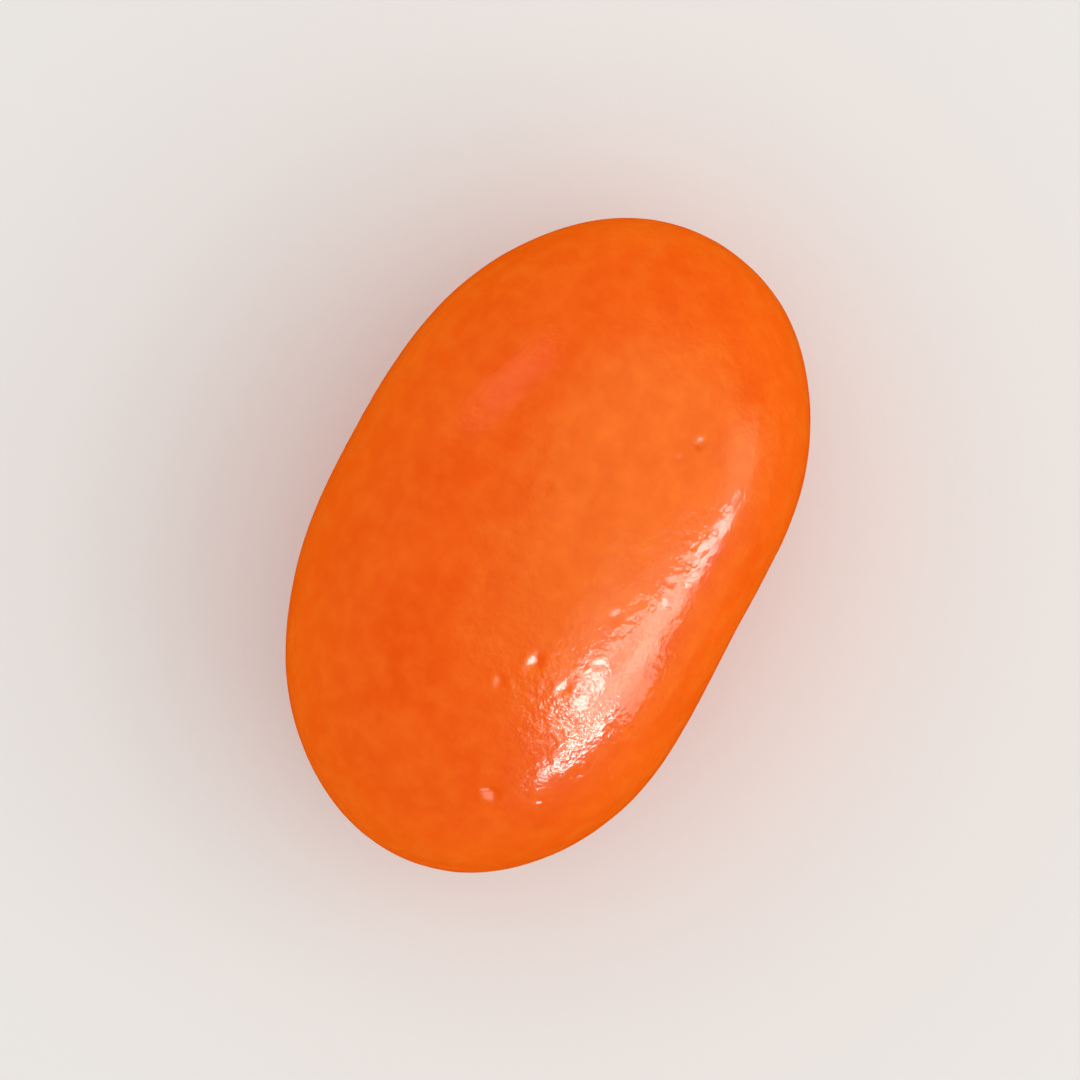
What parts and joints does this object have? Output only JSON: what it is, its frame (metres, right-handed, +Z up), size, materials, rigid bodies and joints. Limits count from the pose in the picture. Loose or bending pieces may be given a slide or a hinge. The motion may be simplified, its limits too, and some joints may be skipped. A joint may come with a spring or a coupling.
{
  "type": "jelly bean",
  "caption": "Single kidney-shaped jelly bean: a glossy orange sugar-shelled sweet with blunt ends and a shallow groove along its belly, lying on its broad side.",
  "frame": {"origin": "on the surface the bean rests on, under the middle of its bounding box", "axes": "+X along the bean, +Y towards its rounded back, -Y towards its grooved belly, +Z up"},
  "size_m": [0.0164, 0.0102, 0.0092],
  "materials": {
    "sugar_shell": "hard-panned sugar shell in opaque orange, polished with edible glaze: glossy, slightly translucent, with fine pits and low bumps"
  },
  "bodies": {
    "root": {"bean": "sugar_shell"}
  },
  "joints": []
}
